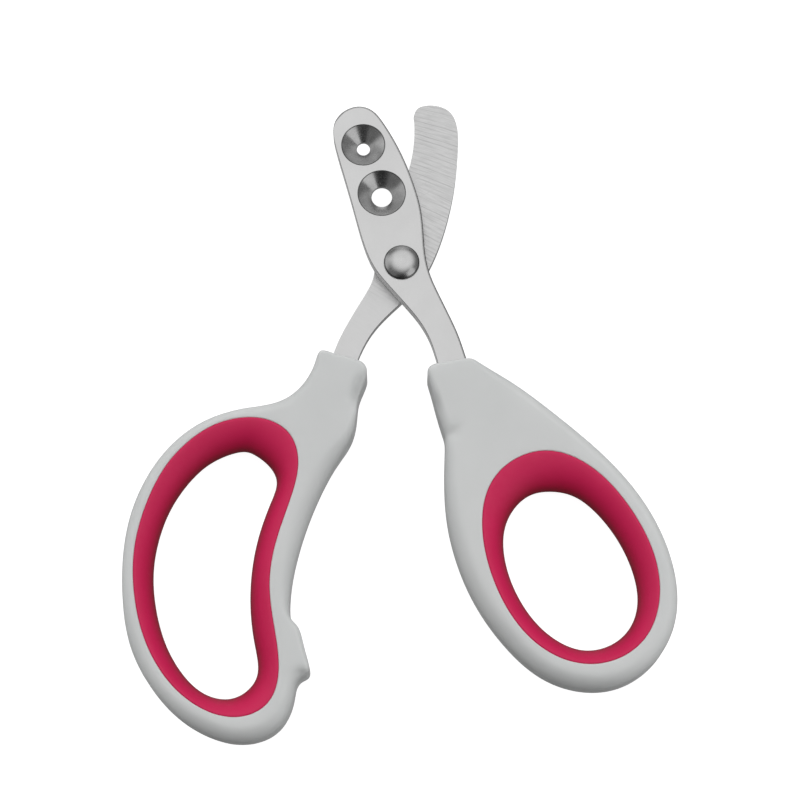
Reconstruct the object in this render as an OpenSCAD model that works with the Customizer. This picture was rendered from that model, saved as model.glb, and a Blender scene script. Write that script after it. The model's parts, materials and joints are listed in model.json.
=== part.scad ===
// Pet nail trimmer: a guide blade with two countersunk claw holes, a curved
// cutting blade that swings behind it on one rivet, and two moulded handles,
// a long finger loop and a round thumb loop, each lined with a soft grip.
// It lies on its handles, seen from above with the blades away from the user.

/* [Blades] */
// Thickness of the guide blade
guide_t = 3; // [2.4:0.1:3.6]
// Thickness of the cutting blade
cutter_t = 2; // [1.6:0.1:2.4]
// Running gap between the two blades
blade_gap = 0.05; // [0.02:0.01:0.1]
// Width of the ground bevel along the cutting edge
bevel_w = 2.2; // [1.2:0.1:3]

/* [Claw holes] */
// Diameter of the small claw hole
small_hole_d = 2.6; // [2:0.1:3.2]
// Diameter of the large claw hole
large_hole_d = 4; // [3.4:0.1:4.6]
// Diameter of the small hole's countersink
small_sink_d = 8.4; // [6.6:0.1:8.8]
// Diameter of the large hole's countersink
large_sink_d = 9.2; // [7.6:0.1:9.6]
// Height of the straight land below each countersink
hole_land = 0.6; // [0.4:0.1:1]

/* [Rivet] */
// Diameter of the rivet's shank
shank_d = 3.2; // [2.8:0.1:3.6]
// Diameter of the rivet's domed head
head_d = 6.8; // [5.6:0.1:7.2]
// Height of the domed head
head_h = 1.7; // [1.2:0.1:2]
// Clearance between the shank and the cutting blade's bore, on the radius
pivot_clearance = 0.05; // [0.02:0.01:0.1]

/* [Handles] */
// Thickness of both handles
handle_t = 10; // [9:0.5:12]
// Depth of the tongue that keys each grip to its handle
key_depth = 1.2; // [0.6:0.1:1.6]
// Height of that tongue at its root
key_h = 4; // [3:0.5:5]

/* [Pose] */
// Opening between the blades; at 0 the stop bump meets the thumb loop
open_angle = 28; // [0:1:73]

/* [Hidden] */

fine = 96;              // $fn of the true circles
over = 1;               // how far a cutter runs past the faces it cuts
edge_steps = 4;         // facets in the rounding of a handle's edge
bulge_steps = 8;        // facets across the swell of a grip
bulge_power = 1.25;     // shape of that swell: 1 is an ellipse, 2 is a wedge
drawn_angle = 28;       // the opening at which the outlines below are laid out

contact_z = handle_t / 2;               // plane between the two blades
guide_top = contact_z + guide_t;
cutter_top = contact_z - blade_gap;
cutter_bottom = cutter_top - cutter_t;

// Claw holes, from the pivot
small_hole = [-7.45, 24];
large_hole = [-3.85, 14.1];

// Cutting edge: an arc that hollows the cutting blade's leading side
edge_r = 30;
edge_centre = [-27.5, 28];

// Rivet: washer under the cutting blade and the peened tail that holds it
washer_d = 6;
washer_t = 0.6;
washer_top = cutter_bottom - blade_gap;
tail_d = 5;
tail_h = 0.9;
tail_z = washer_top - washer_t - tail_h;

// Guide blade, counter-clockwise from its tip: x, y
guide_outline = [
    [-8.3, 32.1], [-11, 31.2], [-12.8, 29.2], [-13.3, 26.2], [-12.3, 21.8], [-11, 17.2],
    [-9.6, 12.2], [-8.3, 7.3], [-6.9, 2.7], [-5.1, -1.2], [-2.5, -4.5], [0.4, -7.9],
    [3.3, -11.5], [5.3, -15.1], [6.6, -19], [7.8, -23.5], [9.3, -28], [11, -31.4],
    [13.6, -32.8], [15.5, -31], [15, -27.4], [13.6, -23.2], [12.2, -18.8], [10.8, -14.4],
    [9, -10.3], [7.1, -6.2], [5.4, -2.2], [4.5, 2], [4.2, 6.4], [3.7, 11],
    [2.5, 15.5], [0.8, 20.3], [-1.4, 25], [-3.8, 29], [-5.7, 31.2]
];

// Cutting blade, counter-clockwise from its tip: x, y
cutter_outline = [
    [5.6, 33.4], [3.6, 33], [2.6, 31.9], [2.1, 30], [0.6, 27], [-0.7, 23],
    [-2.4, 17], [-4.4, 10.5], [-5.4, 4], [-5.2, -0.6], [-6.1, -3.8], [-8.2, -7.5], [-10.4, -11.4],
    [-12.1, -14.8], [-13.4, -18.4], [-14.8, -22.4], [-16.2, -26.5], [-17.2, -30.4], [-15.9, -32.9],
    [-13.4, -32.2], [-12, -28.8], [-10.7, -25], [-9.3, -21], [-7.9, -17.3], [-5.9, -13.4],
    [-3, -9.9], [0.2, -6.8], [3.4, -3.4], [5.9, 1], [7.9, 6.2], [9.4, 11.8],
    [10.4, 17.4], [10.9, 23], [11, 27.6], [10.1, 31.2], [8.1, 32.9]
];

// Finger loop, counter-clockwise from its top: x, y where the soft grip meets
// the handle, then x, y of the grip's waist, halfway through the thickness
finger_border = [
    [-29, -31.1, -30.3, -36.6], [-35.4, -32.6, -35, -38.3], [-41, -36.8, -38.4, -40.9],
    [-45, -42, -41.5, -44.7], [-48, -49.2, -44.3, -50], [-49.6, -57, -46.1, -57.5],
    [-49.2, -65.2, -45.9, -65], [-47.1, -73.4, -43.8, -73.2], [-42.8, -80.7, -40, -79.4],
    [-36.8, -85.7, -36, -82.7], [-30, -87.5, -31.6, -83.5], [-24.2, -84.8, -28.2, -81.6],
    [-22.5, -78.5, -26.4, -78], [-23.3, -71.5, -27.6, -71.8], [-24.5, -63, -28.2, -63.5],
    [-23.3, -54.8, -27.2, -54.6], [-20.9, -47.3, -24.9, -47.2], [-19.3, -40.6, -23.4, -42.7],
    [-20.5, -35, -25.1, -39.4], [-24.1, -32, -27.7, -37.4]
];

// Finger handle, counter-clockwise from the top of the loop: x, y, rounding
// of the edge, place along the border (in rows of the table above)
finger_outline = [
    [-29, -28.8, 2, 0], [-36.1, -30.9, 2, 1], [-42.3, -35.1, 2, 2], [-47, -41, 2, 3],
    [-50.3, -48.3, 2, 4], [-51.7, -56.5, 2, 5], [-51.6, -65.3, 2.2, 6], [-50, -74.4, 2.5, 7],
    [-45.3, -82.6, 2.6, 8], [-38.6, -88.8, 2.3, 9], [-30.3, -91.8, 2.1, 10], [-23.8, -90.3, 2.1, 10.9],
    [-20.9, -86.9, 2.1, 11.4], [-19.8, -83.8, 2, 11.75], [-19.4, -81.3, 1.8, 11.93], [-18.5, -80, 1.4, 12.05],
    [-17.4, -79.3, 0.9, 12.15], [-16.9, -78, 0.8, 12.27], [-17.7, -75.2, 1, 12.57], [-18.5, -71.9, 1, 12.95],
    [-19.3, -70.3, 1, 13.1], [-20.3, -69.3, 1, 13.22], [-20.7, -67.6, 1.5, 13.42], [-20.7, -64.8, 2, 13.8],
    [-20.1, -60, 2.5, 14.4], [-18.4, -53.4, 3, 15.2], [-16, -46.8, 3, 16], [-12.9, -40.2, 2.6, 16.8],
    [-10.1, -35.8, 1.6, 17.25], [-8.8, -32.2, 1.1, 17.6], [-8.4, -28.8, 0.8, 17.88], [-8.1, -26.6, 1, 18.03],
    [-7.2, -24.3, 1.1, 18.15], [-6.5, -22, 1, 18.3], [-7.2, -20.2, 0.8, 18.42], [-9.7, -19.2, 0.7, 18.55],
    [-12.2, -18.6, 0.7, 18.7], [-14.6, -17.8, 0.7, 18.85], [-15.8, -18.2, 0.8, 18.95], [-16.6, -20.6, 1.2, 19.1],
    [-18.4, -23.9, 1.6, 19.25], [-21.5, -26.7, 2, 19.45], [-25.1, -28.1, 2, 19.7]
];

// Thumb loop, counter-clockwise from its top: border x, y and waist x, y
thumb_border = [
    [25.5, -37.6, 28, -44.4], [19.5, -40.3, 23.8, -45.2], [15.8, -45.6, 20.4, -48.8],
    [15, -53, 19, -53.9], [16.6, -61, 20.1, -60.7], [20.3, -68.9, 23.3, -67.2],
    [26, -74.9, 27.7, -71.9], [33.3, -77.7, 33.3, -74.5], [40.6, -76.3, 38.8, -73.4],
    [45.8, -71.3, 42.6, -69.8], [47.6, -63.8, 43.9, -64.2], [46.3, -56, 42.2, -57.3],
    [42.4, -48.4, 39, -51.5], [37.4, -42.3, 35.4, -47.4], [31.6, -38.5, 32, -45.1]
];

// Thumb handle, counter-clockwise from the left of its neck
thumb_outline = [
    [6.8, -20.3, 0.7, 0.55], [5.4, -20.9, 0.7, 0.62], [4.8, -22.1, 0.9, 0.7], [5.5, -24.7, 1.2, 0.85],
    [6.5, -28.9, 1.6, 1.1], [7.6, -32.8, 1.8, 1.35], [8.1, -34.5, 1.8, 1.46], [8.1, -36.8, 2, 1.6],
    [8, -40.8, 2.4, 1.85], [8.1, -46.6, 2.8, 2.3], [8.9, -52.8, 3, 3], [10.9, -59.8, 3, 3.85],
    [14.2, -66.8, 2.8, 4.7], [19, -73.4, 2.5, 5.5], [25, -79, 2.3, 6.2], [32, -81.8, 2.2, 6.95],
    [39.4, -81.6, 2.1, 7.75], [45.8, -77.8, 2, 8.6], [49.9, -71.6, 1.8, 9.25], [51, -64.2, 1.7, 10],
    [49.6, -56.3, 1.7, 11], [46.3, -48.7, 1.8, 11.8], [41.6, -42, 1.9, 12.5], [36.1, -36.2, 2, 13.2],
    [29.7, -30.6, 2.2, 13.9], [22.8, -25.1, 2, 14.5], [17.2, -21.6, 1.6, 14.85], [14.6, -20.1, 1, 15],
    [12.9, -19.3, 0.7, 15.15], [9.9, -19.8, 0.7, 15.37]
];

steel_steps = 3;        // points between two rows of a blade's outline
finger_steps = 2;       // stations between two rows of the finger handle
thumb_steps = 4;        // stations between two rows of the thumb handle

// ---- smooth closed curves ------------------------------------------------

// Row i of a closed table; each full turn adds "turn" to the row
function row(table, i, turn) =
    let (n = len(table), laps = floor(i / n))
    table[i - n * laps] + turn * laps;

// Control value that makes the curve pass by row i itself
function pulled(table, i, turn) =
    row(table, i, turn) * 4 / 3 - (row(table, i - 1, turn) + row(table, i + 1, turn)) / 6;

// Cubic B-spline along the table at place u, counted in rows
function along(table, u, turn) =
    let (i = floor(u), f = u - i)
    (pow(1 - f, 3) * pulled(table, i - 1, turn)
        + (3 * pow(f, 3) - 6 * pow(f, 2) + 4) * pulled(table, i, turn)
        + (3 * f + 3 * pow(f, 2) - 3 * pow(f, 3) + 1) * pulled(table, i + 1, turn)
        + pow(f, 3) * pulled(table, i + 2, turn)) / 6;

function flat(v) = [v[0], v[1]];
function unit(v) = v / norm(v);

// Normal on the right of a step from a to b, which is outward along a
// counter-clockwise loop
function right_of(a, b) = unit([b[1] - a[1], a[0] - b[0]]);

function loop_2d(table, steps) =
    [for (k = [0 : len(table) * steps - 1]) flat(along(table, k / steps, 0 * table[0]))];

// ---- handles and grips: one closed section at each station ---------------

// Half of the distance over which a normal is taken, in rows
reach = 0.2;

// At place u along an outline: outline point, its outward normal, edge
// rounding, border point, the border's inward normal, waist of the grip
function station(outline, border, u) =
    let (
        turn = [0, 0, 0, len(border)],
        still = [0, 0, 0, 0],
        at = along(outline, u, turn),
        s = at[3],
        edge = along(border, s, still)
    )
    [
        flat(at),
        right_of(along(outline, u - reach, turn), along(outline, u + reach, turn)),
        at[2],
        flat(edge),
        -right_of(along(border, s - reach, still), along(border, s + reach, still)),
        [edge[2], edge[3]]
    ];

function at_z(p, z) = [p[0], p[1], z];

// Tongue on the border wall: root and tip, from low to high
function key_points(st) =
    let (tip = st[3] + st[4] * key_depth, mid = handle_t / 2, root_h = key_h / 2, tip_h = key_h / 2 - 0.5)
    [
        at_z(st[3], mid - root_h),
        at_z(tip, mid - tip_h),
        at_z(tip, mid + tip_h),
        at_z(st[3], mid + root_h)
    ];

// Section of a handle: border edge, rounded rim from the top to the bottom
function handle_section(st) =
    let (r = st[2], centre = st[0] - st[1] * r)
    concat(
        [at_z(st[3], handle_t)],
        [for (k = [0 : edge_steps]) let (a = 90 - 90 * k / edge_steps)
            at_z(centre + st[1] * r * cos(a), handle_t - r + r * sin(a))],
        [for (k = [0 : edge_steps]) let (a = 90 * k / edge_steps)
            at_z(centre + st[1] * r * cos(a), r - r * sin(a))],
        [at_z(st[3], 0)],
        key_points(st)
    );

// Cosine raised to the power of the swell, with its sign kept
function swell(a) = sign(cos(a)) * pow(abs(cos(a)), bulge_power);

// Section of a grip: half of a lean ellipse that swells into the loop
function grip_section(st) =
    concat(
        [for (k = [0 : bulge_steps]) let (a = 90 - 180 * k / bulge_steps)
            at_z(st[3] + (st[5] - st[3]) * swell(a), handle_t / 2 * (1 + swell(90 - a)))],
        key_points(st)
    );

// Closed tube through the sections, which run on from the last to the first
module ring(sections, outward) {
    n = len(sections);
    m = len(sections[0]);
    function at(k, j) = (k % n) * m + j % m;
    function facets(k, j) = [
        [at(k, j), at(k, j + 1), at(k + 1, j + 1)],
        [at(k, j), at(k + 1, j + 1), at(k + 1, j)]
    ];
    function turned(f) = outward ? f : [f[2], f[1], f[0]];
    polyhedron(
        points = [for (section = sections) each section],
        faces = [for (k = [0 : n - 1], j = [0 : m - 1], f = facets(k, j)) turned(f)]
    );
}

function stations(outline, border, steps) =
    [for (k = [0 : len(outline) * steps - 1]) station(outline, border, k / steps)];

finger_stations = stations(finger_outline, finger_border, finger_steps);
thumb_stations = stations(thumb_outline, thumb_border, thumb_steps);

// ---- overall size, so that the origin is under the middle ----------------

all_x = [for (st = concat(finger_stations, thumb_stations)) st[0][0]];
all_y = concat(
    [for (st = concat(finger_stations, thumb_stations)) st[0][1]],
    [for (p = loop_2d(cutter_outline, steel_steps)) p[1]]
);
pivot = [-(min(all_x) + max(all_x)) / 2, -(min(all_y) + max(all_y)) / 2];

module from_pivot() translate([pivot[0], pivot[1], 0]) children();
module cutter_side() from_pivot() rotate([0, 0, drawn_angle - open_angle]) children();

// ---- steel ---------------------------------------------------------------

module claw_hole(at, hole_d, sink_d) {
    translate([at[0], at[1], contact_z]) {
        translate([0, 0, -over]) cylinder(h = guide_t + over, d = hole_d, $fn = fine);
        translate([0, 0, hole_land]) cylinder(h = guide_t - hole_land, d1 = hole_d, d2 = sink_d, $fn = fine);
    }
}

module guide_plate() {
    translate([0, 0, contact_z]) linear_extrude(guide_t) polygon(loop_2d(guide_outline, steel_steps));
}

module cutter_plate() {
    translate([0, 0, cutter_bottom]) linear_extrude(cutter_t) polygon(loop_2d(cutter_outline, steel_steps));
}

module guide_blade() {
    color([0.8, 0.8, 0.8]) from_pivot() difference() {
        guide_plate();
        claw_hole(small_hole, small_hole_d, small_sink_d);
        claw_hole(large_hole, large_hole_d, large_sink_d);
        translate([0, 0, contact_z - over]) cylinder(h = guide_t + 2 * over, d = shank_d, $fn = fine);
    }
}

module cutting_blade() {
    color([0.76, 0.76, 0.77]) cutter_side() difference() {
        cutter_plate();
        translate([edge_centre[0], edge_centre[1], cutter_bottom])
            cylinder(h = cutter_t, r1 = edge_r + bevel_w, r2 = edge_r, $fn = 2 * fine);
        translate([0, 0, cutter_bottom - over])
            cylinder(h = cutter_t + 2 * over, d = shank_d + 2 * pivot_clearance, $fn = fine);
    }
}

// Solid cap of a sphere: base diameter d, height h, base on z = 0
module dome(d, h) {
    ball_r = (d * d / 4 + h * h) / (2 * h);
    translate([0, 0, h - ball_r]) intersection() {
        sphere(r = ball_r, $fn = fine);
        translate([0, 0, ball_r - h]) cylinder(h = 2 * h, d = d, $fn = fine);
    }
}

module pivot_rivet() {
    color([0.62, 0.62, 0.64]) from_pivot() {
        translate([0, 0, guide_top]) dome(head_d, head_h);
        translate([0, 0, tail_z + tail_h]) cylinder(h = guide_top - tail_z - tail_h, d = shank_d, $fn = fine);
        translate([0, 0, tail_z + tail_h]) mirror([0, 0, 1]) dome(tail_d, tail_h);
    }
}

module rivet_washer() {
    color([0.66, 0.66, 0.68]) from_pivot() translate([0, 0, washer_top - washer_t]) difference() {
        cylinder(h = washer_t, d = washer_d, $fn = fine);
        translate([0, 0, -over]) cylinder(h = washer_t + 2 * over, d = shank_d, $fn = fine);
    }
}

// ---- plastic -------------------------------------------------------------

module finger_handle() {
    color([0.88, 0.89, 0.89]) cutter_side() difference() {
        ring([for (st = finger_stations) handle_section(st)], false);
        cutter_plate();
    }
}

module finger_grip() {
    color([0.72, 0.15, 0.3]) cutter_side() ring([for (st = finger_stations) grip_section(st)], true);
}

module thumb_handle() {
    color([0.88, 0.89, 0.89]) from_pivot() difference() {
        ring([for (st = thumb_stations) handle_section(st)], false);
        guide_plate();
    }
}

module thumb_grip() {
    color([0.72, 0.15, 0.3]) from_pivot() ring([for (st = thumb_stations) grip_section(st)], true);
}

guide_blade();
cutting_blade();
pivot_rivet();
rivet_washer();
finger_handle();
finger_grip();
thumb_handle();
thumb_grip();
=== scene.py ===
"""Pet nail trimmer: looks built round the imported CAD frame.

Lengths are millimetres inside the shape code and turn into metres when a mesh
is made. Outlines are read off the frame's own solids, so every piece keeps
the CAD's size and place.
"""
import json
import math

import bmesh
import bpy
import numpy as np
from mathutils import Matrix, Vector, geometry


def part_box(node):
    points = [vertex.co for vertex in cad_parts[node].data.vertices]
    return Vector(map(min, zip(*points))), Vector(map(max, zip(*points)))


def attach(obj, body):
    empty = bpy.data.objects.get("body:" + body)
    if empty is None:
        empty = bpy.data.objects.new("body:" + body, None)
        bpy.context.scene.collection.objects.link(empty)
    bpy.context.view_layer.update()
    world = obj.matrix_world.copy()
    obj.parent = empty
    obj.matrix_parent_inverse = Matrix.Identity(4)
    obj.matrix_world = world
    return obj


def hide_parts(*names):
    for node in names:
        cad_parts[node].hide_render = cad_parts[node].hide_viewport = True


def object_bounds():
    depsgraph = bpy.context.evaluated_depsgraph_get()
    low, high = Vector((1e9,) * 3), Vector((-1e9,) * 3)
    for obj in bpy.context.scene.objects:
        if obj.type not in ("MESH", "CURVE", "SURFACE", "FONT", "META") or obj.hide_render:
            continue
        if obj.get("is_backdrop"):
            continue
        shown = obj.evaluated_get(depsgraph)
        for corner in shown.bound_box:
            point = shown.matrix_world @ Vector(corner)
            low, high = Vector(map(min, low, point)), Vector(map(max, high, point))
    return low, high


MM = 0.001

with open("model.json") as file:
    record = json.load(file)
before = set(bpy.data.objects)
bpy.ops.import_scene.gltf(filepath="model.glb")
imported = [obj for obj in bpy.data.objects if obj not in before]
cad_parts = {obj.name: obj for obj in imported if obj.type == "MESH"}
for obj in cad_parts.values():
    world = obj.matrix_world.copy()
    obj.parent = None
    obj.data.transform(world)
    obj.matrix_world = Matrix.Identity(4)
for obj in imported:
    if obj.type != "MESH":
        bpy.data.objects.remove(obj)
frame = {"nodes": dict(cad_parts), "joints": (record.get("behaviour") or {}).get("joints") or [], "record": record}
CAD_BOX = [list(corner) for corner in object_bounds()]    # read before the pieces are made
PIVOT = np.array(frame["joints"][0]["pos_m"][:2]) / MM

FINGER = "finger_side"
THUMB = "thumb_side"

# ---- sizes that only the looks have ------------------------------------------

LOOP_STEP = 0.4          # spacing of the points round a moulding
FILL_STEP = 0.8          # spacing of the points on a moulding's faces
RIM_ROWS = 10            # rows across the rounding of a handle's edge
RIM_SINK = 0.04          # its outline is drawn in by this, to stay within the CAD's
LIP_R = 0.25             # rounding of the plastic where it meets a grip
LIP_ROWS = 4
CROWN_H = 0.22           # how far a moulding's face falls away towards its edge
CROWN_W = 6.0            # width of that fall
DISH_H = 0.06            # the same towards its grip
DISH_W = 2.5
FACE_GAP = 0.3           # flat left between a rim and the next rounding
FRONT_RIM = 0.4          # how much rounder a moulding's rim is towards the front
SEAM_W = 0.1             # mould parting line round the handles
SEAM_D = 0.03            # its depth
GRIP_ROWS = 32           # rows across the swell of a grip
GRIP_SINK = 0.07         # a grip's face lies this far below the plastic
GRIP_POWER = 1.25        # lean of its section: 1 is an ellipse, 2 is a wedge
GRIP_SPREAD = 1.6        # crowds the rows towards its faces
GRIP_LIP_H = 0.2         # rounding down to the plastic
GRIP_LIP_W = 0.35
GRIP_BACK = 0.3          # how far a grip's back wall lies inside the plastic
GRIP_BACK_IN = 0.6       # and how far that wall stays below the faces
STEEL_STEP = 0.3         # spacing of the points round a blade
GUIDE_EDGE = 0.42        # rounding of the guide blade's edges
GUIDE_LEFT_EDGE = 0.1    # the same where they look left
LEFT_WAY = np.array([-0.9, -0.43])
LEFT_FROM, LEFT_OVER = 0.5, 0.35      # cosine where that starts, and its range
CUTTER_EDGE = 0.09       # rounding of the cutting blade's edges
KEEN_EDGE = 0.02         # the same along its cutting edge
KEEN_WIDTH = 0.6         # bevel width at which an edge counts as fully keen
EDGE_ROWS = 4            # rows across the rounding of a blade's edge
GUARD = 0.06             # flat band beside an edge, which keeps the wide faces true
CIRCLE = 144             # points round a hole or the rivet
HOLE_BREAK = 0.1         # broken edge of a plain hole
BORE_R = 1.65            # pivot hole of the cutting blade
SHANK_R = 1.6            # rivet's shank
SHANK_FILLET = 0.1
TURN_PITCH = 0.12        # pitch of the tool marks in a countersink
TURN_DEPTH = 0.004       # and their greatest depth
SINK_D = {"claw_hole_small": 8.4, "claw_hole_large": 9.2}   # outer diameters of the countersinks
HEAD_ROWS = 30           # rows across the rivet's head
HEAD_RIM_ROW = 22        # the row where its rim of painted shade starts
HEAD_SKIRT = 0.22        # height of the head's upright rim
HEAD_BREAK = 0.05        # its broken lower edge
TAIL_ROWS = 14           # rows across the rivet's tail
TAIL_R = 2.5
TAIL_POWER = 0.7         # below 1 the tail is flatter than a ball
WASHER_EDGE = 0.1
TINY_R = 0.001           # stands for a radius of zero

# material slots of the blades and the rivet's head; RIM and HEAD_RIM take a thin line of painted shade
FACE, ROUNDING, SINK, WALL, RIM = range(5)
HEAD_RIM = 1


# ---- reading the frame -------------------------------------------------------

LEVEL = 0.001            # heights and places closer than this are the same
NEAR = 0.01              # the same for heights of two different nodes
SHORTEST = 0.5           # upright edges shorter than this aren't walls
OUTER_TOP = (6.6, 0.5)   # a handle's outer walls end above this and this far below its face
FLAT = 0.99              # upright part of a face's normal from which it counts as flat


def span(node):
    """Lowest and highest corner of a CAD node, in millimetres."""
    low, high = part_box(node)
    return np.array(low) / MM, np.array(high) / MM


def welded(node):
    """A CAD node's mesh with its seams joined, in millimetres."""
    mesh = bmesh.new()
    mesh.from_mesh(frame["nodes"][node].data)
    bmesh.ops.remove_doubles(mesh, verts=mesh.verts, dist=1e-7)
    bmesh.ops.scale(mesh, vec=(1 / MM,) * 3, verts=mesh.verts)
    return mesh


def area(loop):
    """Signed area of a closed loop: positive when counter-clockwise."""
    x, y = loop[:, 0], loop[:, 1]
    return 0.5 * np.sum(x * np.roll(y, -1) - np.roll(x, -1) * y)


def chained(points):
    """Loose points of one loop, in counter-clockwise order."""
    left = np.array(points, float)
    chain = [left[0]]
    left = left[1:]
    while len(left):
        closest = np.argmin(np.sum((left[:, :2] - chain[-1][:2]) ** 2, axis=1))
        chain.append(left[closest])
        left = np.delete(left, closest, axis=0)
    chain = np.array(chain)
    return chain if area(chain) > 0 else chain[::-1]


def smooth_loop(loop, step):
    """Even points about step apart on a smooth closed curve through the loop."""
    ahead = np.roll(loop, -1, axis=0)
    gap = np.linalg.norm((ahead - loop)[:, :2], axis=1)
    gap_before = np.roll(gap, 1)
    slope = (ahead - loop) / gap[:, None]
    slope_before = np.roll(slope, 1, axis=0)
    weight = (gap_before / (gap_before + gap))[:, None]
    tangent = slope * weight + slope_before * (1 - weight)
    place = np.concatenate([[0], np.cumsum(gap)])
    total = place[-1]
    count = int(round(total / step))
    at = np.arange(count) * total / count
    i = np.searchsorted(place, at, side="right") - 1
    j = (i + 1) % len(loop)
    t = ((at - place[i]) / gap[i])[:, None]
    h = gap[i][:, None]
    start = (2 * t ** 3 - 3 * t ** 2 + 1) * loop[i] + (t ** 3 - 2 * t ** 2 + t) * h * tangent[i]
    end = (3 * t ** 2 - 2 * t ** 3) * loop[j] + (t ** 3 - t ** 2) * h * tangent[j]
    return start + end


def outward(loop):
    """Unit normals that point out of a counter-clockwise loop."""
    run = np.roll(loop, -1, axis=0)[:, :2] - np.roll(loop, 1, axis=0)[:, :2]
    run /= np.maximum(np.linalg.norm(run, axis=1), 1e-9)[:, None]
    return np.stack([run[:, 1], -run[:, 0]], axis=1)


def upright_edges(node):
    """x, y, lowest z and highest z of a node's upright edges."""
    mesh = welded(node)
    found = []
    for edge in mesh.edges:
        a, b = sorted((v.co for v in edge.verts), key=lambda p: p.z)
        if (a.xy - b.xy).length < LEVEL and b.z - a.z > SHORTEST:
            found.append((a.x, a.y, a.z, b.z))
    mesh.free()
    return np.array(found)


def handle_rim(node):
    """A handle's outline as x, y and the rounding of its edge."""
    high = span(node)[1][2]
    blade_low, blade_high = span("guide_blade")[0][2], span("guide_blade")[1][2]
    edges = upright_edges(node)
    top = edges[:, 3]
    in_pocket = (abs(edges[:, 2] - blade_low) < NEAR) & (abs(top - blade_high) < NEAR)
    outer = (top > OUTER_TOP[0]) & (top < high - OUTER_TOP[1]) & ~in_pocket
    rim = np.column_stack([edges[outer, :2], high - top[outer]])
    return smooth_loop(chained(rim), LOOP_STEP)


def level_loop(node, z):
    """The loop of a node's corners at height z."""
    mesh = welded(node)
    points = [(v.co.x, v.co.y) for v in mesh.verts if abs(v.co.z - z) < LEVEL]
    mesh.free()
    return chained(points)


def plate_outline(node, z):
    """A blade's outline at one of its faces, without its holes."""
    mesh = welded(node)
    rim = [e for e in mesh.edges if all(abs(v.co.z - z) < LEVEL for v in e.verts)
           and any(abs(f.normal.z) < FLAT for f in e.link_faces)]
    loops = []
    while rim:
        edge = rim.pop()
        start, vert = edge.verts
        loop = [start, vert]
        while vert != start:
            edge = next(e for e in vert.link_edges if e in rim)
            rim.remove(edge)
            vert = edge.other_vert(vert)
            loop.append(vert)
        loops.append(np.array([(v.co.x, v.co.y) for v in loop[:-1]]))
    mesh.free()
    outline = max(loops, key=lambda loop: abs(area(loop)))
    return outline if area(outline) > 0 else outline[::-1]


def paired(border, waist, way, part):
    """The waist, turned so that each point pairs with the border's own one.

    way is the loop that lies at the given part of the way from border to waist.
    """
    def miss(shift):
        return distance(border + (np.roll(waist, shift, axis=0) - border) * part, way).mean()

    return np.roll(waist, min(range(len(waist)), key=miss), axis=0)


def mount(name):
    """A mount of the part's record."""
    return next(m for m in frame["record"]["mounts"] if m["name"] == name)


# ---- plane geometry ----------------------------------------------------------

def inside(points, loop):
    """Which points lie within a closed loop."""
    x, y = points[:, 0][:, None], points[:, 1][:, None]
    x0, y0 = loop[:, 0], loop[:, 1]
    x1, y1 = np.roll(x0, -1), np.roll(y0, -1)
    straddles = (y0 > y) != (y1 > y)
    slope = np.divide(x1 - x0, y1 - y0, out=np.zeros_like(x0), where=y1 != y0)
    return np.sum(straddles & (x < x0 + slope * (y - y0)), axis=1) % 2 == 1


def between(points, loops):
    """Which points lie within the first loop and outside the others."""
    kept = inside(points, loops[0])
    for hole in loops[1:]:
        kept &= ~inside(points, hole)
    return kept


def nearest(points, loop):
    """The nearest place on a closed loop to each point, and how far it is."""
    run = np.roll(loop, -1, axis=0) - loop
    to = points[:, None, :] - loop[None, :, :]
    t = np.clip(np.sum(to * run, axis=2) / np.maximum(np.sum(run * run, axis=1), 1e-12), 0, 1)
    far = np.linalg.norm(to - t[:, :, None] * run, axis=2)
    best = np.argmin(far, axis=1)
    rows = np.arange(len(points))
    return loop[best] + t[rows, best][:, None] * run[best], far[rows, best]


def distance(points, loop):
    """How far each point is from a closed loop."""
    return nearest(points, loop)[1]


ROW_GAP = 0.866          # of the step, which makes the triangles nearly equal-sided
EDGE_GAP = 0.6           # of the step, left free along the loops


def grid_inside(loops, step):
    """Staggered points step apart between loops, clear of their edges."""
    low, high = loops[0].min(axis=0), loops[0].max(axis=0)
    rows = np.arange(low[1], high[1], step * ROW_GAP)
    points = np.array([(x + (k % 2) * step / 2, y) for k, y in enumerate(rows)
                       for x in np.arange(low[0], high[0], step)])
    points = points[between(points, loops)]
    clear = np.min([distance(points, loop) for loop in loops], axis=0) > step * EDGE_GAP
    return points[clear]


def circle(centre, radius):
    """Points round a circle, counter-clockwise."""
    turn = np.arange(CIRCLE) * 2 * math.pi / CIRCLE
    return np.array(centre) + radius * np.column_stack([np.cos(turn), np.sin(turn)])


# ---- making meshes -----------------------------------------------------------

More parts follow.
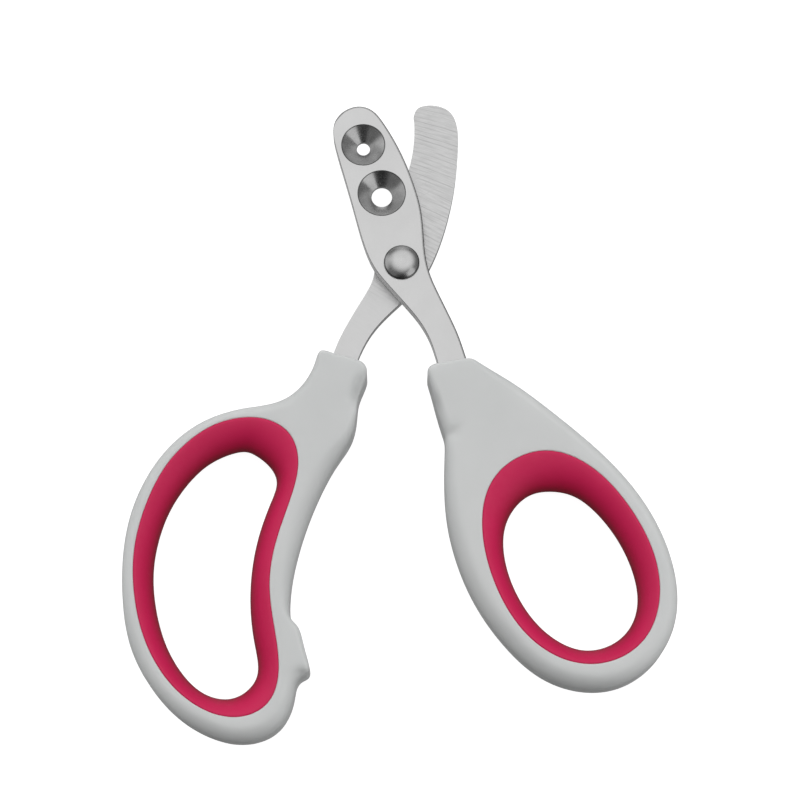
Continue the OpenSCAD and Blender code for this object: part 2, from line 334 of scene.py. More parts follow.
class Shell:
    """Collects rings of points and the faces between them."""

    def __init__(self):
        self.points = []
        self.faces = []
        self.marks = []

    def ring(self, loop, z):
        """Adds a closed ring of points and returns their numbers."""
        first = len(self.points)
        heights = np.broadcast_to(z, len(loop))
        self.points += [(p[0], p[1], h) for p, h in zip(loop, heights)]
        return np.arange(first, first + len(loop))

    def join(self, a, b, mark=FACE):
        """Quads between two rings of the same length."""
        for k in range(len(a)):
            n = (k + 1) % len(a)
            self.faces.append((a[k], a[n], b[n], b[k]))
            self.marks.append(mark)

    def strip(self, rings, mark=FACE):
        for a, b in zip(rings, rings[1:]):
            self.join(a, b, mark)

    def fill(self, outer, holes, height=None, step=None, mark=FACE):
        """Triangles between an outer ring and holes, with points step apart."""
        rings = [outer, *holes]
        flat = np.array([self.points[i][:2] for ring in rings for i in ring])
        numbers = [i for ring in rings for i in ring]
        edges, first = [], 0
        for ring in rings:
            edges += [(first + k, first + (k + 1) % len(ring)) for k in range(len(ring))]
            first += len(ring)
        loops = [np.array([self.points[i][:2] for i in ring]) for ring in rings]
        if step:
            inner = grid_inside(loops, step)
            start = len(self.points)
            self.points += [(x, y, z) for (x, y), z in zip(inner, height(inner))]
            numbers += range(start, start + len(inner))
            flat = np.vstack([flat, inner])
        cut = geometry.delaunay_2d_cdt([Vector(p) for p in flat], edges, [], 0, 1e-7)
        where = [numbers[origin[0]] for origin in cut[3]]
        triangles = np.array(cut[2])
        centres = np.array([p[:] for p in cut[0]])[triangles].mean(axis=1)
        for face in triangles[between(centres, loops)]:
            self.faces.append(tuple(where[i] for i in face))
            self.marks.append(mark)

    def build(self, name, materials, sharp=40):
        """Turns the rings into an object, with edges past "sharp" degrees crisp."""
        mesh = bpy.data.meshes.new(name)
        scaled = [tuple(c * MM for c in p) for p in self.points]
        mesh.from_pydata(scaled, [], [tuple(int(i) for i in face) for face in self.faces])
        for material in materials:
            mesh.materials.append(material)
        mesh.polygons.foreach_set("material_index", self.marks)
        work = bmesh.new()
        work.from_mesh(mesh)
        bmesh.ops.remove_doubles(work, verts=work.verts, dist=1e-8)
        bmesh.ops.recalc_face_normals(work, faces=work.faces)
        work.to_mesh(mesh)
        work.free()
        mesh.shade_smooth()
        mesh.set_sharp_from_angle(angle=math.radians(sharp))
        piece = bpy.data.objects.new(name, mesh)
        bpy.context.scene.collection.objects.link(piece)
        return piece


def lathed(shell, centre, profile, mark=FACE):
    """Rings along a profile of (radius, z) round an upright axis."""
    rings = [shell.ring(circle(centre, r), z) for r, z in profile]
    shell.strip(rings, mark)
    return rings


def stands_for(piece, node, body):
    """Puts a piece on its body in place of its CAD node, which it hides."""
    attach(piece, body)
    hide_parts(node)


# ---- shader helpers ----------------------------------------------------------

class Graph:
    """Short calls for the shader nodes used here."""

    def __init__(self, tree):
        self.tree = tree

    def add(self, kind, **settings):
        node = self.tree.nodes.new(kind)
        for name, value in settings.items():
            setattr(node, name, value)
        return node

    def feed(self, node, socket, value):
        """Links a source to a socket, or sets the socket to a plain value."""
        if isinstance(value, bpy.types.NodeSocket):
            self.tree.links.new(value, node.inputs[socket])
        else:
            node.inputs[socket].default_value = value

    def place(self, offset=(0, 0, 0), scale=(1, 1, 1)):
        """Object coordinates, moved and then scaled."""
        here = self.add("ShaderNodeTexCoord").outputs["Object"]
        return self.vector("MULTIPLY", self.vector("SUBTRACT", here, offset), scale)

    def vector(self, operation, a, b):
        node = self.add("ShaderNodeVectorMath", operation=operation)
        self.feed(node, 0, a)
        self.feed(node, 1, b)
        return node.outputs["Value" if operation == "DOT_PRODUCT" else "Vector"]

    def maths(self, operation, a, b=0.0, c=0.0):
        node = self.add("ShaderNodeMath", operation=operation)
        for k, value in enumerate((a, b, c)):
            self.feed(node, k, value)
        return node.outputs[0]

    def noise(self, vector, scale, detail=3.0, rough=0.5):
        node = self.add("ShaderNodeTexNoise")
        for socket, value in (("Vector", vector), ("Scale", scale), ("Detail", detail), ("Roughness", rough)):
            self.feed(node, socket, value)
        return node.outputs["Fac"]

    def ramp(self, value, *stops):
        """Maps a value through (place, grey or colour) stops."""
        node = self.add("ShaderNodeValToRGB")
        self.feed(node, "Fac", value)
        while len(node.color_ramp.elements) < len(stops):
            node.color_ramp.elements.new(0.5)
        for element, (where, colour) in zip(node.color_ramp.elements, stops):
            element.position = where
            element.color = (*colour, 1.0) if isinstance(colour, tuple) else (colour,) * 3 + (1.0,)
        return node.outputs["Color"]

    def step(self, value, low, high, out_low=0.0, out_high=1.0):
        """Eases from out_low to out_high while the value goes from low to high."""
        node = self.add("ShaderNodeMapRange", interpolation_type="SMOOTHSTEP")
        for k, number in enumerate((value, low, high, out_low, out_high)):
            self.feed(node, k, number)
        return node.outputs[0]

    def split(self, vector):
        node = self.add("ShaderNodeSeparateXYZ")
        self.feed(node, 0, vector)
        return node.outputs

    def joined(self, x, y, z=0.0):
        node = self.add("ShaderNodeCombineXYZ")
        for k, value in enumerate((x, y, z)):
            self.feed(node, k, value)
        return node.outputs[0]


class Finish(Graph):
    """A new material on the principled shader."""

    def __init__(self, name, colour, roughness, metallic=0.0):
        self.material = bpy.data.materials.new(name)
        self.material.use_nodes = True
        super().__init__(self.material.node_tree)
        self.shader = self.tree.nodes["Principled BSDF"]
        self.set("Base Color", (*colour, 1.0))
        self.set("Roughness", roughness)
        self.set("Metallic", metallic)

    def set(self, socket, value):
        self.feed(self.shader, socket, value)

    def bump(self, height, depth, strength=1.0, under=None):
        """Bump of the given depth in metres, over another normal."""
        node = self.add("ShaderNodeBump")
        self.feed(node, "Height", height)
        self.feed(node, "Distance", depth)
        self.feed(node, "Strength", strength)
        if under is not None:
            self.feed(node, "Normal", under)
        return node.outputs["Normal"]


def from_pivot(x, y):
    """A place given from the pivot in millimetres, as metres in the frame."""
    return ((PIVOT[0] + x) * MM, (PIVOT[1] + y) * MM, 0.0)


PER_MM = (1 / MM, 1 / MM, 1 / MM)


# ---- materials ---------------------------------------------------------------

def handle_plastic():
    """Satin off-white moulded plastic: spark-eroded grain and faint flow clouds."""
    m = Finish("handle_plastic", (0.51, 0.52, 0.52), 0.4)
    here = m.place(scale=PER_MM)
    grain = m.noise(here, 7.0, detail=2.0)
    swell = m.noise(here, 0.22, detail=2.0)
    cloud = m.noise(here, 0.07, detail=4.0)
    m.set("Base Color", m.ramp(cloud, (0.3, (0.49, 0.5, 0.498)), (0.7, (0.518, 0.526, 0.524))))
    m.set("Roughness", m.ramp(m.noise(here, 0.9, detail=4.0), (0.3, 0.34), (0.75, 0.46)))
    m.set("Normal", m.bump(grain, 0.00001, 0.5, m.bump(swell, 0.00006, 0.5)))
    m.set("IOR", 1.49)
    m.set("Subsurface Weight", 0.6)
    m.set("Subsurface Radius", (1.0, 1.0, 1.0))
    m.set("Subsurface Scale", 0.0012)
    return m.material


def grip_rubber():
    """Soft crimson elastomer: matt, slightly uneven, with a fine skin, and painted shade that darkens it towards
    its waist.
    """
    m = Finish("grip_rubber", (0.455, 0.006, 0.06), 0.45)
    here = m.place(scale=PER_MM)
    skin = m.noise(here, 5.5, detail=3.0)
    swell = m.noise(here, 0.3, detail=2.0)
    tone = m.noise(here, 0.12, detail=5.0)
    low, high = span("finger_grip")    # the thumb grip has the same heights
    middle, half = (low[2] + high[2]) / 2, (high[2] - low[2]) / 2
    # painted shade: the colour darkens from the grip's faces to its waist, in place of the shade inside the loops
    height = m.maths("ABSOLUTE", m.maths("SUBTRACT", m.split(here)[2], middle))
    painted_shade_depth = m.step(height, 0.0, half * 0.85, 1.0, 0.0)
    shade = m.ramp(painted_shade_depth, (0.0, (1.0, 1.0, 1.0)), (0.55, (0.76, 0.5, 0.6)), (1.0, (0.42, 0.15, 0.2)))
    colour = m.ramp(tone, (0.3, (0.455, 0.003, 0.06)), (0.7, (0.485, 0.004, 0.068)))
    m.set("Base Color", m.vector("MULTIPLY", colour, shade))
    m.set("Roughness", m.ramp(m.noise(here, 1.1, detail=4.0), (0.3, 0.5), (0.75, 0.62)))
    m.set("Normal", m.bump(skin, 0.000016, 0.5, m.bump(swell, 0.00008, 0.5)))
    m.set("IOR", 1.48)
    m.set("Specular IOR Level", 0.36)
    return m.material


def satin_steel():
    """Guide blade: stainless steel with a fine satin along its length."""
    m = Finish("satin_steel", (0.44, 0.44, 0.44), 0.36, 1.0)
    across = m.place(from_pivot(0, 0), (1 / MM, 0.05 / MM, 1 / MM))
    brush = m.noise(across, 9.0, detail=4.0)
    smudge = m.noise(m.place(scale=PER_MM), 0.14, detail=4.0)
    m.set("Base Color", m.ramp(smudge, (0.3, 0.43), (0.7, 0.455)))
    m.set("Roughness", m.ramp(brush, (0.25, 0.3), (0.75, 0.4)))
    m.set("Normal", m.bump(brush, 0.000004, 0.6))
    return m.material


GRIND_PITCH = 0.88               # spacing of the grinding lines
GRIND_SLOPE = (0.585, 0.0106)    # fall of the lines at the pivot, and how it eases with height
GRIND_THIN = 14.0                # the higher, the thinner the lines
GRIND_FROM = (-9.0, 0.0)         # they come in between these heights above the pivot
CROSS_WAY = (-0.5, 0.9)          # direction across the second, faint set


def ground_steel():
    """Cutting blade: fine straight grinding lines that fan a little, and a faint second set."""
    m = Finish("ground_steel", (0.42, 0.42, 0.42), 0.4, 1.0)
    here = m.place(from_pivot(0, 0), PER_MM)
    x, y, _ = m.split(here)
    slope = m.maths("MULTIPLY_ADD", y, -GRIND_SLOPE[1], GRIND_SLOPE[0])
    level = m.maths("MULTIPLY_ADD", x, slope, y)
    ring = m.maths("MULTIPLY_ADD", m.noise(here, 0.3, detail=2.0), 0.25, level)
    wave = m.maths("SINE", m.maths("MULTIPLY", ring, 2 * math.pi / GRIND_PITCH))
    line = m.maths("POWER", m.maths("MULTIPLY_ADD", wave, 0.5, 0.5), GRIND_THIN)
    streak = m.joined(ring, m.maths("MULTIPLY", x, 0.06))
    broken = m.ramp(m.noise(streak, 1.3, detail=2.0), (0.35, 0.1), (0.62, 1.0))
    hair = m.ramp(m.noise(streak, 5.0, detail=5.0, rough=0.65), (0.42, 0.0), (0.68, 1.0))
    slant = m.maths("MULTIPLY_ADD", y, CROSS_WAY[1], m.maths("MULTIPLY", x, CROSS_WAY[0]))
    second = m.noise(m.joined(slant, m.maths("MULTIPLY", x, 0.05)), 2.4, detail=3.0)
    cross = m.ramp(second, (0.58, 0.0), (0.7, 0.5))
    on_blade = m.step(y, *GRIND_FROM)
    mark = m.maths("MULTIPLY", m.maths("MULTIPLY", line, broken), on_blade)
    strength = m.maths("MULTIPLY_ADD", on_blade, 0.75, 0.25)
    fine = m.maths("MULTIPLY", m.maths("MAXIMUM", hair, cross), strength)
    tone = m.maths("MULTIPLY_ADD", fine, 0.4, m.maths("MULTIPLY", mark, 0.6))
    m.set("Base Color", m.ramp(tone, (0.0, 0.448), (0.8, 0.3)))
    m.set("Roughness", m.ramp(fine, (0.0, 0.36), (1.0, 0.46)))
    m.set("Normal", m.bump(m.maths("MULTIPLY", tone, -1.0), 0.000016, 0.7))
    return m.material


def turned_steel():
    """Countersinks: darker, freshly cut steel."""
    m = Finish("turned_steel", (0.4, 0.4, 0.4), 0.22, 1.0)
    here = m.place(scale=PER_MM)
    stain = m.noise(here, 0.55, detail=5.0)
    m.set("Base Color", m.ramp(stain, (0.3, 0.36), (0.7, 0.47)))
    m.set("Roughness", m.ramp(m.noise(here, 3.0, detail=3.0), (0.3, 0.18), (0.7, 0.28)))
    return m.material


def polished_steel(name, colour, low, high):
    """Rivet and washer: polished and a little scuffed."""
    m = Finish(name, (colour,) * 3, low, 1.0)
    here = m.place(scale=PER_MM)
    scuff = m.noise(here, 2.4, detail=6.0, rough=0.62)
    m.set("Base Color", m.ramp(m.noise(here, 0.6, detail=3.0), (0.3, colour * 0.93), (0.7, colour * 1.05)))
    m.set("Roughness", m.ramp(scuff, (0.35, low), (0.75, high)))
    m.set("Normal", m.bump(scuff, 0.000006, 0.6))
    return m.material


def edge_steel(name, dark, light, matt=0.0):
    """Sheared and tumbled edge of a blade, drawn with fine upright marks; matt is 0 to 0.5. On the guide blade its
    dark tone on the rounding is painted shade and its light tone on the wall is a painted reflection.
    """
    m = Finish(name, (dark,) * 3, 0.3, 1.0 - 2 * matt)
    drag = m.noise(m.place(scale=(1 / MM, 1 / MM, 0.12 / MM)), 4.0, detail=3.0)
    m.set("Base Color", m.ramp(drag, (0.3, dark), (0.7, light)))
    m.set("Roughness", m.ramp(drag, (0.3, 0.2 + matt), (0.7, 0.34 + matt)))
    m.set("Normal", m.bump(drag, 0.00002, 0.5))
    return m.material


def painted_shade_rim_steel():
    """Painted shade: a thin dark line round the rivet and the countersinks, in place of the shade at their edges.
    """
    m = Finish("painted_shade_rim_steel", (0.12, 0.12, 0.12), 0.35, 1.0)
    uneven = m.noise(m.place(scale=PER_MM), 0.8, detail=4.0)
    m.set("Base Color", m.ramp(uneven, (0.3, 0.07), (0.7, 0.19)))
    return m.material


# ---- plastic handles and their grips -----------------------------------------

# Soft hollows moulded in the handles' upper faces: centre from the pivot, half
# length, half width, direction in degrees, depth
FINGER_HOLLOWS = [
    ((-8.2, -25.9), 3.0, 1.1, 76, 1.3),
    ((-18.5, -79.2), 1.5, 1.0, 20, 0.5),
]
THUMB_HOLLOWS = [
    ((6.3, -28.3), 1.9, 0.8, 106, 1.0),
    ((9.6, -34.1), 1.7, 1.1, 50, 0.6),
]


def hollow(points, centre, along, across, direction, depth):
    """Depth of one soft hollow under each point."""
    c, s = math.cos(math.radians(direction)), math.sin(math.radians(direction))
    x, y = (points - (PIVOT + np.array(centre))).T
    u, v = (x * c + y * s) / along, (-x * s + y * c) / across
    return depth * np.exp(-(u * u + v * v))


def fall(points, outline, border, hollows):
    """How far a handle's face lies below its highest plane."""
    drop = CROWN_H * np.clip(1 - distance(points, outline) / CROWN_W, 0, 1) ** 2
    drop += DISH_H * np.clip(1 - distance(points, border) / DISH_W, 0, 1) ** 2
    for one in hollows:
        drop += hollow(points, *one)
    return drop


def handle(name, node, grip_node, body, hollows, material):
    """A moulded handle: rounded rim, crowned faces, lip round the grip, parting line."""
    low, high = span(node)
    middle, half = (low[2] + high[2]) / 2, (high[2] - low[2]) / 2
    rim = handle_rim(node)
    outline = rim[:, :2] - outward(rim) * RIM_SINK
    border = smooth_loop(level_loop(grip_node, high[2]), LOOP_STEP)
    out, lip_out = outward(outline), outward(border)
    radius = rim[:, 2] * (1 + FRONT_RIM * np.clip(-out[:, 1], 0, 1))
    radius = np.minimum(radius, half - SEAM_W - FACE_GAP)
    radius = np.minimum(radius, distance(outline, border) - LIP_R - FACE_GAP)
    shell = Shell()
    walls, lips = [], []
    for side in (1, -1):
        dents = hollows if side > 0 else []    # the hollows are in the upper face only

        def level(points):
            return middle + side * (half - fall(points, outline, border, dents))

        rows = []
        for k in range(RIM_ROWS + 1):
            a = math.pi / 2 * k / RIM_ROWS
            loop = outline - out * (radius * (1 - math.cos(a)))[:, None]
            rows.append(shell.ring(loop, level(loop) - side * radius * (1 - math.sin(a))))
        shell.strip(rows)
        lip = []
        for k in range(LIP_ROWS + 1):
            a = math.pi / 2 * k / LIP_ROWS
            loop = border + lip_out * LIP_R * (1 - math.cos(a))
            lip.append(shell.ring(loop, level(loop) - side * LIP_R * (1 - math.sin(a))))
        shell.strip(lip)
        shell.fill(rows[-1], [lip[-1]], level, FILL_STEP)
        walls.append(rows[0])
        lips.append(lip[0])
    seam = [shell.ring(outline, middle + SEAM_W), shell.ring(outline - out * SEAM_D, middle),
            shell.ring(outline, middle - SEAM_W)]
    shell.strip([walls[0], *seam, walls[1]])
    shell.join(lips[0], lips[1])
    piece = shell.build(name, [material], sharp=55)
    stands_for(piece, node, body)


def grip(name, node, body, material):
    """A grip's swell, from its border with the plastic to its waist and back."""
    low, high = span(node)
    middle, half = (low[2] + high[2]) / 2, (high[2] - low[2]) / 2 - GRIP_SINK
    border, waist = level_loop(node, high[2]), level_loop(node, middle)
    part = 0.5 ** (GRIP_POWER / 2)
    waist = paired(border, waist, level_loop(node, middle + (high[2] - middle) * part), part)
    both = smooth_loop(np.column_stack([border, waist]), LOOP_STEP)
    border, waist = both[:, :2], both[:, 2:]
    reach = np.linalg.norm(waist - border, axis=1)
    shell = Shell()
    rings = []
    for k in range(-GRIP_ROWS // 2, GRIP_ROWS // 2 + 1):
        t = 2 * k / GRIP_ROWS
        a = math.pi / 2 * (1 - (1 - abs(t)) ** GRIP_SPREAD)
        into, up = math.cos(a) ** GRIP_POWER, math.sin(a) ** GRIP_POWER
        lip = GRIP_LIP_H * np.clip(1 - reach * into / GRIP_LIP_W, 0, 1) ** 2
        z = middle + math.copysign(1, t) * (half * up - lip)
        rings.append(shell.ring(border + (waist - border) * into, z))
    shell.strip(rings)
    back = border + outward(border) * GRIP_BACK
    walls = [shell.ring(back, middle - half + GRIP_BACK_IN), shell.ring(back, middle + half - GRIP_BACK_IN)]
    shell.join(rings[0], walls[0])
    shell.join(walls[0], walls[1])
    shell.join(walls[1], rings[-1])
    piece = shell.build(name, [material], sharp=60)
    stands_for(piece, node, body)


# ---- blades ------------------------------------------------------------------

def plate_edge(shell, upper, lower, top, bottom, edge, wall=ROUNDING):
    """A blade's side: rounded upper edge, wall, rounded lower edge; returns its end rings."""
    out = outward(upper)

    def row(loop, a, z, side):
        inset = edge * (1 - math.sin(a))
        return shell.ring(loop - out * inset[:, None], z - side * edge * (1 - math.cos(a)))

    rows = [shell.ring(upper - out * (edge + GUARD)[:, None], top)]
    rows += [row(upper, math.pi / 2 * k / EDGE_ROWS, top, 1) for k in range(EDGE_ROWS + 1)]
    over = len(rows)
    rows += [row(lower, math.pi / 2 * (1 - k / EDGE_ROWS), bottom, -1) for k in range(EDGE_ROWS + 1)]
    rows.append(shell.ring(lower - out * (edge + GUARD)[:, None], bottom))
    shell.join(rows[0], rows[1])
    shell.strip(rows[1:over], mark=ROUNDING)
    shell.join(rows[over - 1], rows[over], mark=wall)
    shell.strip(rows[over:-1], mark=ROUNDING)
    shell.join(rows[-2], rows[-1])
    return rows[0], rows[-1]


def band(shell, centre, radius, ring, z):
    """Flat band round a hole's ring; returns its outer ring."""
    outer = shell.ring(circle(centre, radius + GUARD), z)
    shell.join(outer, ring)
    return outer


def bore(shell, centre, radius, top, bottom):
    """A plain hole with slightly broken edges; returns its end rings."""
    wide = radius + HOLE_BREAK
    profile = [(wide, top), (radius, top - HOLE_BREAK), (radius, bottom + HOLE_BREAK), (wide, bottom)]
    rings = lathed(shell, centre, profile, mark=ROUNDING)
    return [band(shell, centre, wide, rings[k], z) for k, z in ((0, top), (-1, bottom))]


SINK_LIP = [(0.08, 0.0), (0.02, -0.03), (-0.1, -0.14)]   # its rim of painted shade, from its edge: radius, z
LAND_DROP = 0.03                                         # the bore starts this far below the cone


def countersink(shell, name, top, bottom, rng):
    """A turned countersink over a short bore; returns its upper and lower rings."""
    hole = mount(name)
    centre = np.array(hole["pos_m"][:2]) / MM
    r, land = hole["dims"]["r_mm"], bottom + hole["dims"]["length_mm"]
    rim = SINK_D[name] / 2
    slant = math.hypot(rim - r, top - land)
    across = np.array([top - land, rim - r]) / slant
    count = int(slant / TURN_PITCH)
    depth = np.repeat(rng.uniform(0.3, 1.0, count), 4) * TURN_DEPTH
    wave = np.tile([0.0, 1.0, 0.0, -1.0], count) * depth
    # the countersink's lip takes the painted shade
    lip = lathed(shell, centre, [(rim + aside, top + rise) for aside, rise in SINK_LIP], mark=RIM)
    profile = []
    for k in range(4, 4 * count - 1):
        s = k / (4 * count)
        along = np.array([rim - (rim - r) * s, top - (top - land) * s])
        profile.append(tuple(along + across * wave[k]))
    rings = lathed(shell, centre, profile, mark=SINK)
    wide = r + HOLE_BREAK
    tail = [(r, land - LAND_DROP), (r, bottom + HOLE_BREAK), (wide, bottom)]
    tail = lathed(shell, centre, tail, mark=SINK)
    shell.join(lip[-1], rings[0], mark=SINK)
    shell.join(rings[-1], tail[0], mark=SINK)
    upper = band(shell, centre, rim + SINK_LIP[0][0], lip[0], top)
    return upper, band(shell, centre, wide, tail[-1], bottom)


def guide_blade(face, rounding, sink, wall, rim):
    """The upper blade with its two countersunk claw holes."""
    low, high = span("guide_blade")
    bottom, top = low[2], high[2]
    loop = smooth_loop(plate_outline("guide_blade", top), STEEL_STEP)
    shell = Shell()
    left = np.clip((outward(loop) @ LEFT_WAY - LEFT_FROM) / LEFT_OVER, 0, 1)
    edge = GUIDE_EDGE + (GUIDE_LEFT_EDGE - GUIDE_EDGE) * left
    upper, lower = plate_edge(shell, loop, loop, top, bottom, edge, wall=WALL)
    rng = np.random.default_rng(7)
    ends = [countersink(shell, name, top, bottom, rng) for name in SINK_D]
    shell.fill(upper, [end[0] for end in ends])
    shell.fill(lower, [end[1] for end in ends])
    piece = shell.build("guide_blade_steel", [face, rounding, sink, wall, rim], sharp=40)
    stands_for(piece, "guide_blade", THUMB)


def cutting_blade(face, rounding):
    """The lower blade, bevelled underneath along its cutting edge."""
    low, high = span("cutting_blade")
    bottom, top = low[2], high[2]
    upper = smooth_loop(plate_outline("cutting_blade", top), STEEL_STEP)
    lower, inset = nearest(upper, plate_outline("cutting_blade", bottom))
    keen = np.clip(inset / KEEN_WIDTH, 0, 1)
    edge = CUTTER_EDGE + (KEEN_EDGE - CUTTER_EDGE) * keen
    shell = Shell()
    ends = plate_edge(shell, upper, lower, top, bottom, edge)
    hole = bore(shell, PIVOT, BORE_R, top, bottom)
    shell.fill(ends[0], [hole[0]])
    shell.fill(ends[1], [hole[1]])
    piece = shell.build("cutting_blade_steel", [face, rounding], sharp=30)
    stands_for(piece, "cutting_blade", FINGER)


def rivet(face, rim):
    """Domed head with a rim of painted shade, shank and peened tail, all of one piece."""
    low, high = span("pivot_rivet")
    plate_top = span("guide_blade")[1][2]
    washer_low = span("rivet_washer")[0][2]
    head_r, head_h = (high[0] - low[0]) / 2, high[2] - plate_top
    ball_r = (head_r ** 2 + head_h ** 2) / (2 * head_h)
    profile = []
    for k in range(HEAD_ROWS):
        r = max(head_r * math.sin(math.pi / 2 * k / (HEAD_ROWS - 1)), TINY_R)
        dome = high[2] - ball_r + math.sqrt(ball_r ** 2 - r ** 2)
        z = plate_top + HEAD_SKIRT + (dome - plate_top) * (1 - HEAD_SKIRT / head_h)
        profile.append((r, z))
    profile += [(head_r, plate_top + HEAD_BREAK), (head_r - HEAD_BREAK, plate_top)]
    head_end = len(profile) - 1
    profile += [(SHANK_R + SHANK_FILLET, plate_top), (SHANK_R, plate_top - SHANK_FILLET)]
    profile.append((SHANK_R, washer_low))
    for k in range(TAIL_ROWS, -1, -1):
        a = math.pi / 2 * k / TAIL_ROWS
        z = washer_low - (washer_low - low[2]) * math.cos(a) ** TAIL_POWER
        profile.append((max(TAIL_R * math.sin(a), TINY_R), z))
    shell = Shell()
    rings = [shell.ring(circle(PIVOT, r), z) for r, z in profile]
    shell.strip(rings[:HEAD_RIM_ROW + 1])
    shell.strip(rings[HEAD_RIM_ROW:head_end + 1], mark=HEAD_RIM)
    shell.strip(rings[head_end:])
    shell.faces += [tuple(rings[0]), tuple(rings[-1])]
    shell.marks += [FACE, FACE]
    piece = shell.build("pivot_rivet_steel", [face, rim], sharp=50)
    stands_for(piece, "pivot_rivet", THUMB)


def washer(face):
    """Plain washer under the rivet's tail, with broken edges."""
    low, high = span("rivet_washer")
    outer = (high[0] - low[0]) / 2
    profile = [(SHANK_R, high[2]), (outer - WASHER_EDGE, high[2]), (outer, high[2] - WASHER_EDGE),
               (outer, low[2] + WASHER_EDGE), (outer - WASHER_EDGE, low[2]), (SHANK_R, low[2])]
    shell = Shell()
    rings = lathed(shell, PIVOT, profile)
    shell.join(rings[-1], rings[0])
    piece = shell.build("rivet_washer_steel", [face], sharp=35)
    stands_for(piece, "rivet_washer", THUMB)


# ---- stage -------------------------------------------------------------------

SKY = (0.05, 0.37, 0.928)         # middle of the soft light: overhead, a little behind
SKY_EDGES = (0.35, 0.85)          # where it starts and where it is full, as cosines
SKY_BRIGHT, SKY_DARK = 1.43, 0.24    # its strength, and the rest of the room's
FRONT = (0, -0.97, 0.24)          # the dark end of the room, behind the camera
FRONT_EDGES = (0.8, 0.97)
FRONT_SHARE = 0.15
LEFT = (-0.966, 0.26, 0.1)        # a pale panel on the left
LEFT_EDGES = (0.8, 0.98)
LEFT_BRIGHT = 0.6
BACK = (0, 0.97, -0.2)            # a pale strip low behind the table
BACK_EDGES = (0.9, 0.985)
BACK_BRIGHT = 0.8
BELOW_EDGES = (-0.9, -0.5)        # heights of a direction between straight below and the sides
BELOW_SHARE = 1.2                 # how much more comes up from straight below


def studio_light():
    """A large soft light overhead in a dim room, pale on the left and low at the back."""
    world = bpy.data.worlds.new("studio")
    bpy.context.scene.world = world
    world.use_nodes = True
    g = Graph(world.node_tree)
    way = g.add("ShaderNodeTexCoord").outputs["Generated"]
    glow = g.step(g.vector("DOT_PRODUCT", way, SKY), *SKY_EDGES, SKY_DARK, SKY_BRIGHT)
    wall = g.step(g.vector("DOT_PRODUCT", way, LEFT), *LEFT_EDGES, 0.0, LEFT_BRIGHT)
    front = g.step(g.vector("DOT_PRODUCT", way, FRONT), *FRONT_EDGES, 1.0, FRONT_SHARE)
    back = g.step(g.vector("DOT_PRODUCT", way, BACK), *BACK_EDGES, 0.0, BACK_BRIGHT)
    low = g.step(g.split(way)[2], *BELOW_EDGES, BELOW_SHARE, 1.0)
    glow = g.maths("MULTIPLY_ADD", g.maths("MULTIPLY", glow, low), front, g.maths("ADD", wall, back))
    seen = g.add("ShaderNodeLightPath").outputs["Is Camera Ray"]    # what the camera sees is white
    g.feed(world.node_tree.nodes["Background"], "Color", (1, 1, 1, 1))
    g.feed(world.node_tree.nodes["Background"], "Strength", g.maths("MAXIMUM", glow, seen))


LIGHT_SIDE = 0.6           # width and height of each area light


def area_light(name, place, power, mirrored=True):
    """A square light that points at the object; the steel shows it only if mirrored."""
    data = bpy.data.lights.new(name, "AREA")
    data.shape = "RECTANGLE"
    data.size, data.size_y = LIGHT_SIDE, LIGHT_SIDE
    data.energy = power
    light = bpy.data.objects.new(name, data)
    light.location = place
    light.rotation_euler = (-Vector(place)).to_track_quat("-Z", "Y").to_euler()
    light.visible_glossy = mirrored
    bpy.context.scene.collection.objects.link(light)


FLOOR_REACH = 3.0
FLOOR_DROP = 0.0001        # keeps the table just clear of the object
FLOOR_GLOW = 0.92          # makes it show nearly white


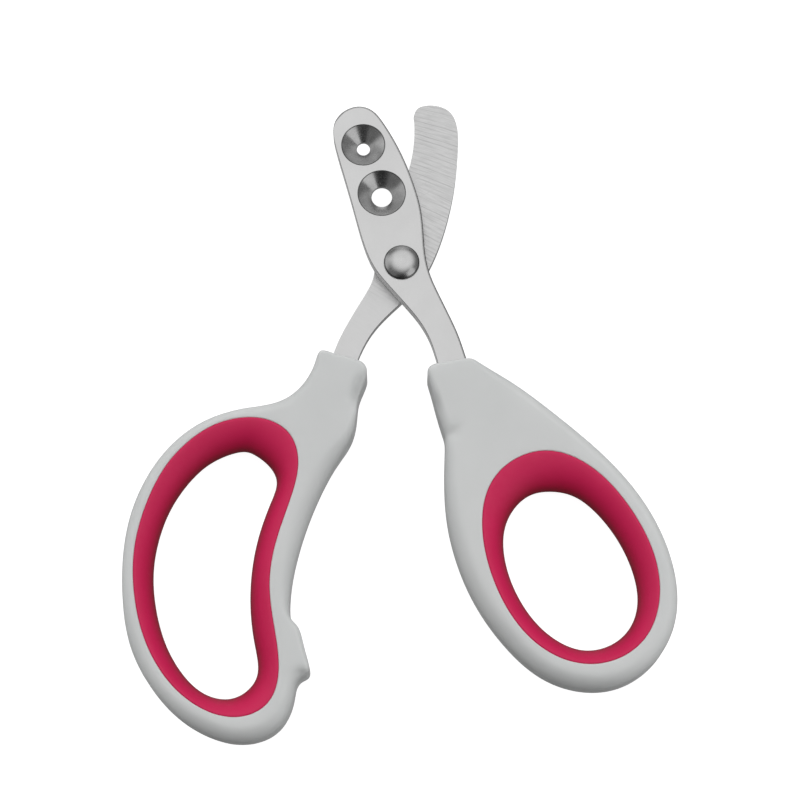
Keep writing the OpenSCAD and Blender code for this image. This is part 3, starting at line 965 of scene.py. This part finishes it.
def floor():
    """A white table that glows a little and doesn't light the object."""
    mesh = bpy.data.meshes.new("floor")
    corners = [(x * FLOOR_REACH, y * FLOOR_REACH, 0) for x, y in ((-1, -1), (1, -1), (1, 1), (-1, 1))]
    mesh.from_pydata(corners, [], [(0, 1, 2, 3)])
    table = bpy.data.objects.new("floor", mesh)
    bpy.context.scene.collection.objects.link(table)
    table.location.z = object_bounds()[0][2] - FLOOR_DROP
    table.visible_diffuse = False
    table.visible_glossy = False
    paint = Finish("floor_paint", (0.3, 0.3, 0.3), 0.9)
    paint.set("Emission Color", (1, 1, 1, 1))
    paint.set("Emission Strength", FLOOR_GLOW)
    mesh.materials.append(paint.material)
    table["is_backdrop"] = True


VIEW_WIDTH = 0.152         # width of the view at the object
VIEW_DISTANCE = 0.48
VIEW_ELEVATION = 75        # degrees above the table, seen from the front
VIEW_AIM = (-0.316, -26.465)      # the point looked at, in millimetres from the pivot
SENSOR_WIDTH = 36


def camera():
    """Looks down on the object from the front."""
    target = Vector(from_pivot(*VIEW_AIM))
    target.z = (CAD_BOX[0][2] + CAD_BOX[1][2]) / 2
    data = bpy.data.cameras.new("camera")
    data.sensor_width = SENSOR_WIDTH
    data.lens = SENSOR_WIDTH * VIEW_DISTANCE / VIEW_WIDTH
    view = bpy.data.objects.new("camera", data)
    tilt = math.radians(90 - VIEW_ELEVATION)
    view.rotation_euler = (tilt, 0, 0)
    view.location = target + VIEW_DISTANCE * Vector((0, -math.sin(tilt), math.cos(tilt)))
    bpy.context.scene.collection.objects.link(view)
    bpy.context.scene.camera = view


# ---- the object --------------------------------------------------------------

plastic = handle_plastic()
rubber = grip_rubber()
handle("finger_handle_shell", "finger_handle", "finger_grip", FINGER, FINGER_HOLLOWS, plastic)
handle("thumb_handle_shell", "thumb_handle", "thumb_grip", THUMB, THUMB_HOLLOWS, plastic)
grip("finger_grip_lining", "finger_grip", FINGER, rubber)
grip("thumb_grip_lining", "thumb_grip", THUMB, rubber)
# a thin line of painted shade for the rims of the rivet and the countersinks
painted_rim_shade = painted_shade_rim_steel()
# painted shade darkens the guide blade's rounded edges, and a painted reflection lightens its walls
guide_blade(satin_steel(), edge_steel("guide_edge_painted_shade", 0.24, 0.34), turned_steel(),
            edge_steel("guide_wall_painted_light", 0.64, 0.74, matt=0.28), painted_rim_shade)
cutting_blade(ground_steel(), edge_steel("cutter_edge_steel", 0.52, 0.6))
rivet(polished_steel("polished_steel", 0.41, 0.2, 0.32), painted_rim_shade)
washer(polished_steel("washer_steel", 0.6, 0.25, 0.4))
floor()
studio_light()
area_light("side", (0.6, -0.44, 0.3), 0.95)
area_light("left_fill", (-0.68, 0.38, 0.2), 1.8, mirrored=False)
area_light("right_fill", (0.78, 0.06, 0.2), 1.5, mirrored=False)
camera()
bpy.context.scene.view_settings.view_transform = "Standard"
